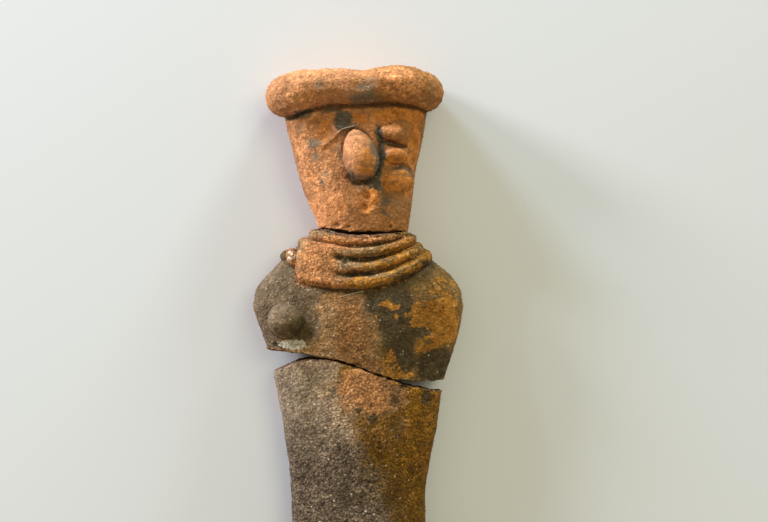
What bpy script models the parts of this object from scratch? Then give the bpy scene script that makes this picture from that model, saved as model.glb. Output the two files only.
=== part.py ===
"""A broken fired-clay figurine of a priest, lying on its back in three fragments: head, chest and lower body.

Metres, +Z up. The figure lies along Y with its head towards +Y and its face up, and the floor is at Z = 0.
All sizes but the first are millimetres as drawn on a figure DRAWN_HEIGHT tall. UNIT turns them into metres, so the
whole figure keeps its proportions when FIGURE_HEIGHT changes. "Level" is the distance from the sole of the foot
towards the head, "across" is positive towards +X, and "front" is the height of the clay's front above the floor.
"""

import math
from collections import namedtuple

import bmesh
import bpy
import numpy as np
from mathutils import Vector, noise

# Driving size of the figure, in metres
FIGURE_HEIGHT = 0.1442
DRAWN_HEIGHT = 144.2
UNIT = FIGURE_HEIGHT / DRAWN_HEIGHT

# The low foot, which flares out below the hem of the skirt
FOOT_HEIGHT = 6.0
FOOT_OVERHANG = 2.8
FOOT_DEPTH = 20.4
FOOT_EDGE_ROUNDING = 0.8
HEM_LEFT = 18.6
HEM_RIGHT = 19.8
HEM_DEPTH = 16.6

# The slab of the body above the foot: level, left half width, right half width, front
TORSO_LEVELS = (
    (20.0, 17.6, 18.8, 15.4),
    (34.0, 15.1, 16.0, 13.8),
    (50.0, 14.8, 14.8, 12.7),
    (65.0, 16.3, 17.4, 12.8),
    (78.0, 18.9, 19.6, 13.2),
    (86.0, 21.1, 22.1, 13.6),
    (90.0, 22.2, 22.8, 13.8),
    (93.6, 22.8, 23.2, 13.7),
    (97.6, 20.9, 21.6, 13.2),
    (100.5, 18.3, 18.6, 12.8),
    (103.0, 15.9, 15.3, 12.5),
    (105.7, 12.6, 12.6, 12.2),
    (108.3, 9.8, 11.1, 12.0),
    (112.5, 9.2, 10.6, 12.0),
)
# The slab of the head, from inside the neck to the crown within the turban
HEAD_LEVELS = (
    (104.5, 7.4, 10.6, 11.4),
    (109.4, 8.6, 11.1, 12.1),
    (112.5, 9.9, 11.6, 12.7),
    (116.5, 11.7, 12.2, 13.1),
    (121.0, 13.1, 12.7, 13.4),
    (127.0, 14.6, 13.7, 13.5),
    (133.5, 16.1, 15.0, 13.3),
    (138.5, 16.2, 15.0, 12.6),
    (141.4, 14.6, 13.4, 11.4),
)
FRONT_ROUNDING = 2.5
HEAD_FRONT_ROUNDING = 2.7
BACK_ROUNDING = 3.0
WIDEST_SHARE = 0.42
BACK_REACH = 1.08
RING_POINTS = 40
ROW_STEP = 3.6

# The fracture across the chest: across, level of the chest's broken edge, gap to the lower body
CHEST_FRACTURE = (
    (-26.0, 84.3, 6.4),
    (-19.2, 82.8, 5.0),
    (-16.0, 82.3, 3.6),
    (-13.7, 82.0, 2.0),
    (-11.6, 82.1, 1.5),
    (-9.0, 81.3, 0.6),
    (-5.4, 80.7, 0.32),
    (-3.0, 80.1, 0.38),
    (-0.2, 79.4, 0.3),
    (3.9, 77.5, 0.3),
    (7.4, 76.4, 0.35),
    (10.0, 76.2, 1.0),
    (14.0, 75.9, 1.6),
    (18.6, 75.7, 2.2),
    (26.0, 75.7, 2.4),
)
CHEST_FRACTURE_SLANT = 0.02
# The fracture at the neck: across, level of the head's broken edge, gap to the collar
NECK_FRACTURE = (
    (-16.0, 111.0, 0.4),
    (-8.0, 109.8, 0.35),
    (-6.0, 109.2, 0.4),
    (-4.2, 108.7, 0.65),
    (-2.6, 108.4, 0.9),
    (3.6, 108.4, 0.9),
    (7.6, 108.5, 0.6),
    (11.0, 109.0, 0.35),
    (16.0, 109.3, 0.35),
)
NECK_FRACTURE_SLANT = 0.16
FRACTURE_ROUGHNESS = 0.3
FRACTURE_GRAIN = 3.0
FRACTURE_STEP = 1.8
FRACTURE_MARGIN = 4.0
CUTTER_REACH = 45.0
CUTTER_HEIGHT = 34.0

# The rolled turban's middle line: it runs straight across the front and the back and turns in a half circle at each
# end. The rows give, from end to end, the distance across, how far it droops and how thick it is
TURBAN_RADIUS = 4.2
TURBAN_BELOW_CROWN = 1.4
TURBAN_FRONT = 12.4
TURBAN_BACK = 2.2
TURBAN_ROWS = (
    (-16.0, 2.0, 1.06),
    (-14.2, 1.7, 1.08),
    (-11.8, 1.1, 1.03),
    (-7.8, 0.55, 0.96),
    (-2.8, 0.35, 0.92),
    (2.2, 0.6, 0.90),
    (4.5, 0.2, 0.92),
    (7.2, -0.15, 0.955),
    (10.2, -0.1, 0.965),
    (12.5, 0.3, 0.94),
    (14.7, 1.1, 1.00),
)
TURBAN_STRAIGHT_POINTS = 12
TURBAN_END_POINTS = 10

# The collar's coils of clay, from the neck down. A wrap is how far the coil goes round behind that side, in degrees
Coil = namedtuple("Coil", "radius left_wrap right_wrap route")
COLLAR_COILS = {
    "coil_neck_rim": Coil(1.25, 50, 50, (
        (-9.5, 108.1), (-5.9, 106.9), (-2.1, 106.3), (1.6, 106.3), (7.3, 107.0), (10.0, 107.9), (10.9, 108.5))),
    "coil_upper": Coil(1.5, 50, 50, (
        (-11.7, 105.5), (-8.5, 104.4), (-4.8, 103.9), (-2.1, 103.7), (1.6, 103.8), (7.4, 104.8), (10.2, 105.9),
        (11.7, 106.9))),
    "coil_middle": Coil(1.5, 0, 50, (
        (-7.6, 101.4), (-4.8, 100.8), (-2.1, 100.5), (1.6, 100.5), (7.4, 101.8), (10.9, 103.1), (13.4, 104.6))),
    "coil_lower": Coil(1.6, 0, 50, (
        (-12.3, 98.4), (-8.5, 97.8), (-4.8, 97.3), (-2.1, 97.2), (1.6, 97.3), (7.4, 98.7), (11.3, 100.5),
        (13.7, 102.0), (15.2, 103.2))),
}
COIL_SINK = 0.12
COIL_POINTS = 20
COIL_END_TAPER = 0.6

# Clay pressed onto the surface or dented into it. Turn is in degrees, towards the left at the head end
Pellet = namedtuple("Pellet", "across level width length rise turn fullness squareness", defaults=(0, 2.0, 2.0))
NOSE = Pellet(0.5, 124.9, 7.3, 11.0, 5.2, turn=14, fullness=2.4)
NOSE_DROOP = 0.16
EYE_UPPER_LID = Pellet(7.5, 129.7, 5.7, 3.4, 1.9, turn=-4, fullness=2.6)
EYE_LOWER_LID = Pellet(8.3, 124.6, 5.2, 3.2, 1.1, fullness=2.4)
EYE_SLIT = Pellet(8.0, 127.2, 6.6, 1.5, 0.8, turn=-10)
CHEEK = Pellet(9.0, 119.3, 6.4, 5.0, 0.9)
LOST_EYE_SCAR = Pellet(-7.9, 130.3, 6.2, 6.6, 0.4)
MOUTH_UPPER = Pellet(2.1, 116.3, 2.1, 1.9, 0.45)
MOUTH_LOWER = Pellet(1.2, 113.7, 2.4, 1.9, 0.45)
COLLAR_PAD = Pellet(-7.2, 101.2, 12.6, 9.2, 1.35, turn=-3, fullness=3.0, squareness=4.0)
COLLAR_KNOT = Pellet(-14.3, 102.6, 2.3, 4.0, 1.2, turn=8)
COLLAR_BEAD = Pellet(-16.4, 103.1, 1.9, 2.1, 1.3)
LOST_BREAST_SCAR = Pellet(16.1, 89.3, 6.6, 7.4, 0.35)
PELLET_SIDES = 16
PELLET_RINGS = 10

# The domed breast pellet, turned from a profile of (radius share, rise share)
BREAST_ACROSS = -15.8
BREAST_LEVEL = 88.9
BREAST_RADIUS = 3.9
BREAST_RISE = 4.2
BREAST_PROFILE = ((0.0, 1.0), (0.24, 0.97), (0.44, 0.87), (0.62, 0.69), (0.76, 0.46), (0.88, 0.18), (1.0, -0.1))
BREAST_SINK = 2.2
BREAST_SIDES = 22

CLAY_COLOURS = {
    "head_fragment": (0.45, 0.17, 0.06, 1.0),
    "chest_fragment": (0.24, 0.12, 0.045, 1.0),
    "lower_body_fragment": (0.17, 0.11, 0.06, 1.0),
}
CLAY_ROUGHNESS = 0.85
SHARP_ANGLE = 50.0


def smooth_rows(table, levels):
    """The table's columns at these levels, on smooth curves through its rows."""
    rows = np.array(table, dtype=float)
    slopes = np.gradient(rows[:, 1:], rows[:, 0], axis=0)
    index = np.clip(np.searchsorted(rows[:, 0], levels, side="right") - 1, 0, len(rows) - 2)
    span = (rows[index + 1, 0] - rows[index, 0])[:, None]
    t = np.clip((levels - rows[index, 0])[:, None] / span, 0.0, 1.0)
    start, end = rows[index, 1:], rows[index + 1, 1:]
    leaving, arriving = slopes[index] * span, slopes[index + 1] * span
    return (
        start * (1 + 2 * t) * (1 - t) ** 2
        + leaving * t * (1 - t) ** 2
        + end * t * t * (3 - 2 * t)
        - arriving * t * t * (1 - t)
    )


def body_levels():
    """The rows of the whole body: the foot, the hem above it and the torso."""
    sole = (0.0, HEM_LEFT + FOOT_OVERHANG, HEM_RIGHT + FOOT_OVERHANG, FOOT_DEPTH)
    rim = (FOOT_HEIGHT * 0.6, *sole[1:])
    hem = (FOOT_HEIGHT * 1.3, HEM_LEFT, HEM_RIGHT, HEM_DEPTH)
    first = (0.0, *(size - FOOT_EDGE_ROUNDING for size in sole[1:]))
    edge = (FOOT_EDGE_ROUNDING, *sole[1:])
    return (first, edge, rim, hem, *TORSO_LEVELS)


class Slab:
    """A hand-patted slab of clay: a domed front, a nearly flat back and rounded sides."""

    def __init__(self, levels, front_rounding):
        self.levels = levels
        self.front_rounding = front_rounding

    def row(self, level):
        """Left half width, right half width and front at this level."""
        return smooth_rows(self.levels, np.array([level]))[0]

    def point(self, level, angle):
        """The surface point, in metres, at an angle round the section: 0 is the right side, 90 degrees the front."""
        left, right, front = self.row(level)
        cosine, sine = math.cos(angle), math.sin(angle)
        widest = front * WIDEST_SHARE
        rounding = self.front_rounding if sine >= 0 else BACK_ROUNDING
        reach = front - widest if sine >= 0 else widest * BACK_REACH
        half_width = right if cosine >= 0 else left
        across = math.copysign(half_width * abs(cosine) ** (2 / rounding), cosine)
        height = widest + math.copysign(reach * abs(sine) ** (2 / rounding), sine)
        return Vector((across, level, height)) * UNIT

    def angle(self, across, level):
        """The angle of the surface point this far across the front. Past the side it goes on down the side."""
        left, right, front = self.row(level)
        half_width = right if across >= 0 else left
        share = across / half_width
        if abs(share) <= 1.0:
            return math.acos(math.copysign(abs(share) ** (self.front_rounding / 2), share))
        down = (abs(across) - half_width) / (front * WIDEST_SHARE * BACK_REACH)
        past = math.asin(min(down, 1.0) ** (BACK_ROUNDING / 2))
        return -past if across > 0 else math.pi + past

    def normal(self, level, angle):
        """The outward normal at this level and angle."""
        small_level, small_angle = 0.4, 0.03
        along = self.point(level + small_level, angle) - self.point(level - small_level, angle)
        around = self.point(level, angle + small_angle) - self.point(level, angle - small_angle)
        return along.cross(around).normalized()

    def above(self, across, level, rise):
        """The point that stands this far out of the front surface."""
        angle = self.angle(across, level)
        return self.point(level, angle) + self.normal(level, angle) * rise * UNIT


BODY = Slab(body_levels(), FRONT_ROUNDING)
HEAD = Slab(HEAD_LEVELS, HEAD_FRONT_ROUNDING)


def clear_scene():
    """Removes whatever the file holds."""
    for thing in list(bpy.data.objects):
        bpy.data.objects.remove(thing, do_unlink=True)


def new_collection(name):
    """An empty collection in the scene."""
    collection = bpy.data.collections.new(name)
    bpy.context.scene.collection.children.link(collection)
    return collection


def object_from_bmesh(name, shape, collection):
    """A mesh object from a bmesh, with its normals facing out."""
    bmesh.ops.recalc_face_normals(shape, faces=shape.faces)
    mesh = bpy.data.meshes.new(name)
    shape.to_mesh(mesh)
    shape.free()
    thing = bpy.data.objects.new(name, mesh)
    collection.objects.link(thing)
    return thing


def slab_object(name, slab, low, high, collection):
    """The slab between two levels, lofted through its sections and closed flat at both ends."""
    rows = max(2, math.ceil((high - low) / ROW_STEP) + 1)
    loft = bmesh.new()
    rings = []
    for level in np.linspace(low, high, rows):
        angles = (math.tau * k / RING_POINTS for k in range(RING_POINTS))
        rings.append([loft.verts.new(slab.point(level, angle)) for angle in angles])
    for lower, upper in zip(rings, rings[1:]):
        for k in range(RING_POINTS):
            following = (k + 1) % RING_POINTS
            loft.faces.new((lower[k], lower[following], upper[following], upper[k]))
    loft.faces.new(rings[0])
    loft.faces.new(rings[-1])
    return object_from_bmesh(name, loft, collection)


def roll_object(name, points, swells, radius, bevel_steps, cyclic, collection):
    """A roll of clay along these points, as a closed mesh made from a bevelled curve."""
    curve = bpy.data.curves.new(name + "_curve", "CURVE")
    curve.dimensions = "3D"
    curve.bevel_depth = radius * UNIT
    curve.bevel_resolution = bevel_steps
    curve.use_fill_caps = not cyclic
    spline = curve.splines.new("POLY")
    spline.points.add(len(points) - 1)
    spline.use_cyclic_u = cyclic
    for control, place, swell in zip(spline.points, points, swells):
        control.co = (*place, 1.0)
        control.radius = swell
    guide = bpy.data.objects.new(name + "_guide", curve)
    collection.objects.link(guide)
    bpy.context.view_layer.update()
    graph = bpy.context.evaluated_depsgraph_get()
    mesh = bpy.data.meshes.new_from_object(guide.evaluated_get(graph))
    bpy.data.objects.remove(guide, do_unlink=True)
    roll = bmesh.new()
    roll.from_mesh(mesh)
    bpy.data.meshes.remove(mesh)
    bmesh.ops.remove_doubles(roll, verts=roll.verts, dist=1e-6)
    return object_from_bmesh(name, roll, collection)


def turban_object(collection):
    """The turban: one thick roll round the top of the head."""
    top = HEAD_LEVELS[-1][0] - TURBAN_BELOW_CROWN
    middle = (TURBAN_FRONT + TURBAN_BACK) / 2
    turn = (TURBAN_FRONT - TURBAN_BACK) / 2
    left, right = TURBAN_ROWS[0][0] + turn, TURBAN_ROWS[-1][0] - turn
    straight = np.linspace(left, right, TURBAN_STRAIGHT_POINTS)[:-1]
    bend = np.linspace(math.pi / 2, -math.pi / 2, TURBAN_END_POINTS)[:-1]
    route = [(across, TURBAN_FRONT) for across in straight]
    route += [(right + turn * math.cos(angle), middle + turn * math.sin(angle)) for angle in bend]
    route += [(left + right - across, TURBAN_BACK) for across in straight]
    route += [(left - turn * math.cos(angle), middle - turn * math.sin(angle)) for angle in bend]
    rows = smooth_rows(TURBAN_ROWS, np.array([across for across, height in route]))
    points = [Vector((across, top - droop, height)) * UNIT for (across, height), (droop, _) in zip(route, rows)]
    swells = [float(swell) for _, swell in rows]
    return roll_object("turban", points, swells, TURBAN_RADIUS, 5, True, collection)


def coil_object(name, coil, collection):
    """One coil of the collar, pressed onto the neck and wrapped round its sides."""
    stops = [(BODY.angle(across, level), level) for across, level in coil.route]
    if coil.left_wrap:
        stops.insert(0, (math.pi + math.radians(coil.left_wrap), stops[0][1] + coil.radius / 2))
    if coil.right_wrap:
        stops.append((-math.radians(coil.right_wrap), stops[-1][1] + coil.radius / 2))
    steps = np.linspace(0, len(stops) - 1, COIL_POINTS)
    path = smooth_rows([(k, *stop) for k, stop in enumerate(stops)], steps)
    points, swells = [], []
    for step, (angle, level) in zip(steps, path):
        sink = BODY.normal(level, angle) * coil.radius * COIL_SINK * UNIT
        points.append(BODY.point(level, angle) - sink)
        nearest_end = min(step, steps[-1] - step)
        swells.append(COIL_END_TAPER + (1 - COIL_END_TAPER) * min(1.0, nearest_end / 0.35))
    return roll_object(name, points, swells, coil.radius, 3, False, collection)


def pellet_object(name, slab, pellet, collection, droop=0.0):
    """An oval of clay that follows the surface, half in and half out of it.

    Fullness makes its top flatter and its sides steeper, squareness its outline squarer, and droop moves its
    fullest part towards the foot.
    """
    shape = bmesh.new()
    bmesh.ops.create_uvsphere(shape, u_segments=PELLET_SIDES, v_segments=PELLET_RINGS, radius=1.0)
    turn = math.radians(pellet.turn)
    for vertex in shape.verts:
        x, y, z = vertex.co
        out = min(1.0, math.hypot(x, y))
        side = (abs(x) ** pellet.squareness + abs(y) ** pellet.squareness) ** (1 / pellet.squareness)
        squarer = out / side if side else 1.0
        full = 1.0 - droop * y
        width = x * squarer * full * pellet.width / 2
        length = y * squarer * pellet.length / 2
        rise = math.copysign((1.0 - out**pellet.fullness) ** (1 / pellet.fullness), z) * full * pellet.rise
        across = pellet.across + width * math.cos(turn) - length * math.sin(turn)
        level = pellet.level + width * math.sin(turn) + length * math.cos(turn)
        vertex.co = slab.above(across, level, rise)
    return object_from_bmesh(name, shape, collection)


def breast_object(collection):
    """The domed breast pellet, a turned profile that stands on the chest."""
    profile = [Vector((r * BREAST_RADIUS, 0, h * BREAST_RISE)) * UNIT for r, h in BREAST_PROFILE]
    profile.append(Vector((BREAST_RADIUS, 0, -BREAST_SINK)) * UNIT)
    profile.append(Vector((0, 0, -BREAST_SINK)) * UNIT)
    outline = bmesh.new()
    corners = [outline.verts.new(place) for place in profile]
    for first, second in zip(corners, corners[1:]):
        outline.edges.new((first, second))
    bmesh.ops.spin(
        outline,
        geom=outline.verts[:] + outline.edges[:],
        axis=(0, 0, 1),
        cent=(0, 0, 0),
        angle=math.tau,
        steps=BREAST_SIDES,
        use_merge=True,
    )
    bmesh.ops.remove_doubles(outline, verts=outline.verts, dist=1e-6)
    breast = object_from_bmesh("breast_pellet", outline, collection)
    angle = BODY.angle(BREAST_ACROSS, BREAST_LEVEL)
    outward = BODY.normal(BREAST_LEVEL, angle)
    breast.rotation_euler = Vector((0, 0, 1)).rotation_difference(outward).to_euler()
    breast.location = BODY.point(BREAST_LEVEL, angle)
    return breast


def fracture_cutter(name, table, slant, gap_share, towards, collection):
    """A block whose one face is the fracture surface and which reaches away from it towards +Y or -Y.

    gap_share is 0 for the fragment nearer the head and 1 for the one nearer the foot.
    """
    rows = np.array(table)
    middle = rows[:, 1].mean()
    front = BODY.row(middle)[2]
    block = bmesh.new()
    columns = round(2 * CUTTER_REACH * 0.7 / FRACTURE_STEP)
    bmesh.ops.create_grid(block, x_segments=columns, y_segments=round(CUTTER_HEIGHT / FRACTURE_STEP), size=0.5)
    for vertex in block.verts:
        across = vertex.co.x * 1.4 * CUTTER_REACH
        height = vertex.co.y * CUTTER_HEIGHT + front
        level = np.interp(across, rows[:, 0], rows[:, 1])
        gap = np.interp(across, rows[:, 0], rows[:, 2])
        rough = noise.noise(Vector((across, height, middle)) / FRACTURE_GRAIN) * FRACTURE_ROUGHNESS
        level += rough - slant * (front - height) - gap * gap_share
        vertex.co = Vector((across, level, height)) * UNIT
    far = bmesh.ops.extrude_face_region(block, geom=block.faces[:])
    for vertex in (item for item in far["geom"] if isinstance(item, bmesh.types.BMVert)):
        vertex.co.y = (middle + towards * CUTTER_REACH) * UNIT
    return hidden_cutter(object_from_bmesh(name, block, collection))


def floor_cutter(collection):
    """A block under the floor, which gives every fragment its flat back."""
    block = bmesh.new()
    bmesh.ops.create_cube(block, size=2.0 * DRAWN_HEIGHT * UNIT)
    bmesh.ops.translate(block, verts=block.verts, vec=(0, DRAWN_HEIGHT / 2 * UNIT, -DRAWN_HEIGHT * UNIT))
    return hidden_cutter(object_from_bmesh("floor_cut", block, collection))


def hidden_cutter(cutter):
    """Marks an object as a cutter that isn't part of the figure."""
    cutter.display_type = "WIRE"
    cutter.hide_render = True
    return cutter


def add_boolean(target, other, operation):
    """An exact Boolean modifier."""
    modifier = target.modifiers.new(f"{operation.lower()}_{other.name}", "BOOLEAN")
    modifier.operation = operation
    modifier.solver = "EXACT"
    modifier.use_self = operation == "UNION"
    modifier.object = other


def join_clay(body, pieces, dents):
    """Presses the pieces into the body and the dents out of it, as one mesh. The pieces are used up."""
    for piece in pieces:
        add_boolean(body, piece, "UNION")
    for dent in dents:
        add_boolean(body, dent, "DIFFERENCE")
    bpy.context.view_layer.update()
    graph = bpy.context.evaluated_depsgraph_get()
    joined = bpy.data.meshes.new_from_object(body.evaluated_get(graph))
    body.modifiers.clear()
    body.data = joined
    for used in (*pieces, *dents):
        bpy.data.objects.remove(used, do_unlink=True)


def clay_material(name):
    """Matt fired clay in the fragment's own colour."""
    material = bpy.data.materials.new(name + "_clay")
    material.use_nodes = True
    shader = material.node_tree.nodes["Principled BSDF"]
    shader.inputs["Base Color"].default_value = CLAY_COLOURS[name]
    shader.inputs["Roughness"].default_value = CLAY_ROUGHNESS
    shader.inputs["Metallic"].default_value = 0.0
    return material


def finish_fragment(fragment, cutters):
    """Shades the fragment smooth, breaks it off along its fractures and gives it its clay."""
    fragment.data.shade_smooth()
    fragment.data.set_sharp_from_angle(angle=math.radians(SHARP_ANGLE))
    for cutter in cutters:
        add_boolean(fragment, cutter, "DIFFERENCE")
    fragment.data.materials.clear()
    fragment.data.materials.append(clay_material(fragment.name))


def head_fragment(parts, cutters, floor):
    """The head with its turban, nose, one eye, cheek, mouth and the scar of the lost eye."""
    head = slab_object("head_fragment", HEAD, HEAD_LEVELS[0][0], HEAD_LEVELS[-1][0], parts)
    pieces = [
        turban_object(parts),
        pellet_object("nose", HEAD, NOSE, parts, NOSE_DROOP),
        pellet_object("eye_upper_lid", HEAD, EYE_UPPER_LID, parts),
        pellet_object("eye_lower_lid", HEAD, EYE_LOWER_LID, parts),
        pellet_object("cheek", HEAD, CHEEK, parts),
    ]
    dents = [
        pellet_object("eye_slit", HEAD, EYE_SLIT, parts),
        pellet_object("lost_eye_scar", HEAD, LOST_EYE_SCAR, parts),
        pellet_object("mouth_upper", HEAD, MOUTH_UPPER, parts),
        pellet_object("mouth_lower", HEAD, MOUTH_LOWER, parts),
    ]
    join_clay(head, pieces, dents)
    neck = fracture_cutter("neck_cut_below_head", NECK_FRACTURE, NECK_FRACTURE_SLANT, 0.0, -1.0, cutters)
    finish_fragment(head, [neck, floor])
    return head


def chest_fragment(parts, cutters, floor):
    """The chest with its collar of coils, one breast pellet and the scar of the other."""
    low = min(row[1] for row in CHEST_FRACTURE) - FRACTURE_MARGIN
    chest = slab_object("chest_fragment", BODY, low, TORSO_LEVELS[-1][0], parts)
    pieces = [coil_object(name, coil, parts) for name, coil in COLLAR_COILS.items()]
    pieces += [
        pellet_object("collar_pad", BODY, COLLAR_PAD, parts),
        pellet_object("collar_knot", BODY, COLLAR_KNOT, parts),
        pellet_object("collar_bead", BODY, COLLAR_BEAD, parts),
        breast_object(parts),
    ]
    join_clay(chest, pieces, [pellet_object("lost_breast_scar", BODY, LOST_BREAST_SCAR, parts)])
    neck = fracture_cutter("neck_cut_above_collar", NECK_FRACTURE, NECK_FRACTURE_SLANT, 1.0, 1.0, cutters)
    waist = fracture_cutter("chest_cut_below", CHEST_FRACTURE, CHEST_FRACTURE_SLANT, 0.0, -1.0, cutters)
    finish_fragment(chest, [neck, waist, floor])
    return chest


def lower_body_fragment(parts, cutters, floor):
    """The waist and skirt, down to a low foot that flares out."""
    high = max(row[1] for row in CHEST_FRACTURE) + FRACTURE_MARGIN / 2
    body = slab_object("lower_body_fragment", BODY, 0.0, high, parts)
    chest = fracture_cutter("chest_cut_above_waist", CHEST_FRACTURE, CHEST_FRACTURE_SLANT, 1.0, 1.0, cutters)
    finish_fragment(body, [chest, floor])
    return body


def centre_on_floor(frame, fragments):
    """Moves the figure so that the origin is on the floor, under the middle of its box."""
    bpy.context.view_layer.update()
    graph = bpy.context.evaluated_depsgraph_get()
    corners = []
    for fragment in fragments:
        shown = fragment.evaluated_get(graph)
        corners += [shown.matrix_world @ vertex.co for vertex in shown.data.vertices]
    low = Vector(map(min, zip(*corners)))
    high = Vector(map(max, zip(*corners)))
    middle = (low + high) / 2
    frame.location = (-middle.x, -middle.y, -low.z)


def main():
    clear_scene()
    parts = new_collection("priest_figurine")
    cutters = new_collection("cutters")
    floor = floor_cutter(cutters)
    fragments = [
        head_fragment(parts, cutters, floor),
        chest_fragment(parts, cutters, floor),
        lower_body_fragment(parts, cutters, floor),
    ]
    frame = bpy.data.objects.new("figurine_frame", None)
    parts.objects.link(frame)
    for thing in (*fragments, *cutters.objects):
        thing.parent = frame
    centre_on_floor(frame, fragments)


main()
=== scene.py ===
import math

import bmesh
import bpy
import numpy as np
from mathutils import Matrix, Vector, noise


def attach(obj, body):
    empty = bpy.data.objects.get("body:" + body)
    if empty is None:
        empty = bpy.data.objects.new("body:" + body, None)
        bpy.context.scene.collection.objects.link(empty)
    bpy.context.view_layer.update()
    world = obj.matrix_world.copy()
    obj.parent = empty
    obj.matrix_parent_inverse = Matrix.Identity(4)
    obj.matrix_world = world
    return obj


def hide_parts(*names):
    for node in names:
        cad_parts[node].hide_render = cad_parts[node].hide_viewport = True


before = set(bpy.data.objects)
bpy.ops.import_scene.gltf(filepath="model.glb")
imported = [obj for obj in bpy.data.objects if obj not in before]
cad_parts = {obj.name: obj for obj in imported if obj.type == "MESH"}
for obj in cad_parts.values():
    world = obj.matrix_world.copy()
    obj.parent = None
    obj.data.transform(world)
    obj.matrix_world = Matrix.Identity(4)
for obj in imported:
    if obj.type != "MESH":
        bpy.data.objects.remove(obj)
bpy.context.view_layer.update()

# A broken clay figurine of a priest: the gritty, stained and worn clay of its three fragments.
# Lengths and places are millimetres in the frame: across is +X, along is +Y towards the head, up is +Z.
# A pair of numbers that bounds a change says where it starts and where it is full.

MM = 0.001

# The camera looks straight down on the figure, as the photographer did
CAMERA_ACROSS = 5.5
CAMERA_ALONG = 29.82
CAMERA_HEIGHT = 320.0
VIEW_WIDTH = 169.0
VIEW_LEVEL = 7.0
SENSOR = 36.0
NEAREST_SEEN = 10.0

# Soft light over a pale table. Windows: direction, width in degrees, strength at the head, colour
WINDOWS = {
    "window_by_the_head": ((-0.575, 0.791, 0.208), 14.0, 2.9, (0.53, 0.67, 0.97)),
    "window_at_the_side": ((-0.847, 0.489, 0.208), 15.0, 3.6, (0.80, 0.84, 0.96)),
    "window_at_the_right": ((0.416, 0.892, 0.174), 18.0, 2.7, (0.78, 0.92, 0.95)),
}
WINDOW_DISTANCE = 800.0
WINDOWS_FACE = (5.5, 50.0)
CEILING_DIRECTION = (0.42, 0.30, 0.86)
CEILING_WIDTH = 30.0
CEILING_STRENGTH = 0.58
CEILING_COLOUR = (0.98, 1.0, 0.62)
ROOM_COLOUR = (1.0, 0.90, 0.68)
ROOM_STRENGTH = 0.40
TABLE_COLOUR = (0.775, 0.775, 0.775)
TABLE_ROUGHNESS = 0.9
TABLE_SIZE = 1600.0
TABLE_LEVEL = -0.02

# Fine clay meshes: size of a face, how near two corners are one point, and the steps that even out all of the
# clay, then its plain areas, and at the end all of it a little
FACE_SIZE = {"head_fragment": 0.25, "chest_fragment": 0.26, "lower_body_fragment": 0.34}
SAME_POINT = 0.002
FIRST_STEPS = 10
PLAIN_STEPS = 90
LAST_STEPS = 2
LAST_SHARE = 0.6
RELAX_IN = 0.50
RELAX_OUT = 0.52
# A bend as sharp as this, found over so many steps, is detail and stays crisp; the turban is plain all over
DETAIL_BEND = (0.010, 0.035)
DETAIL_STEPS = 6
TURBAN_EDGE = 63.4
TURBAN_EDGE_WIDTH = 1.2

# The broken edges, from part.py: across, along of the upper piece's edge, gap to the piece below. Then how fast
# the broken face runs down from its top edge, and that edge's level.
NECK_BREAK = (((-16.2, 38.8, 0.4), (-8.2, 37.6, 0.35), (-6.2, 37.0, 0.4), (-4.4, 36.5, 0.65), (-2.8, 36.2, 0.9),
               (3.4, 36.2, 0.9), (7.4, 36.3, 0.6), (10.8, 36.8, 0.35), (15.8, 37.1, 0.35)), 0.16, 12.0)
CHEST_BREAK = (((-26.2, 12.1, 6.4), (-19.4, 10.6, 5.0), (-16.2, 10.1, 3.6), (-13.9, 9.8, 2.0), (-11.8, 9.9, 1.5),
                (-9.2, 9.1, 0.6), (-5.6, 8.5, 0.32), (-3.2, 7.9, 0.38), (-0.4, 7.2, 0.3), (3.7, 5.3, 0.3),
                (7.2, 4.2, 0.35), (9.8, 4.0, 1.0), (13.8, 3.7, 1.6), (18.4, 3.5, 2.2), (25.8, 3.5, 2.4)), 0.02, 13.0)
# The breaks of each fragment, and whether it lies below them
ENDS = {"head_fragment": ((NECK_BREAK, False),), "chest_fragment": ((NECK_BREAK, True), (CHEST_BREAK, False)),
        "lower_body_fragment": ((CHEST_BREAK, True),)}
# What counts as a broken face: how squarely it looks along Y, and how near it is to the break
BREAK_FACING = (0.45, 0.75)
BREAK_REACH = (1.1, 0.5)
# How far the foot of the broken faces at the chest leans towards the skirt: across, then how far. Then the levels
# where the lean starts and is full, and how far along it reaches.
BREAK_LEAN = {"chest_fragment": ((-21.0, -10.0, -7.0, 8.0, 14.0), (0.3, 0.2, 0.0, 0.0, -1.3)),
              "lower_body_fragment": ((6.0, 10.0, 14.0, 17.5), (0.0, 0.9, 0.9, 0.0))}
LEAN_LEVELS = (11.0, 5.0)
LEAN_BELOW = 12.1

# Ovals are across, along, half width, half length, strength, and a turn in degrees if there is one.
# Edges that were smoothed into the clay by hand, by a share
SMOOTHED_IN = {
    "head_fragment": {"right_end_of_lid": (10.2, 58.0, 3.4, 3.6, 0.9), "top_of_lid": (7.4, 59.6, 4.0, 1.6, 0.6)},
}
SMOOTHED_IN_STEPS = 60
SMOOTHED_IN_FULL = 0.6
SMOOTHED_IN_LEVELS = (4.0, 8.0)
# The hollow in the top of the turban, smoothed too: an oval seen from the head's end
TURBAN_TOP = (0.0, 7.2, 16.0, 4.0, 1.0)
TURBAN_TOP_WIDTH = 3.0

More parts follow.
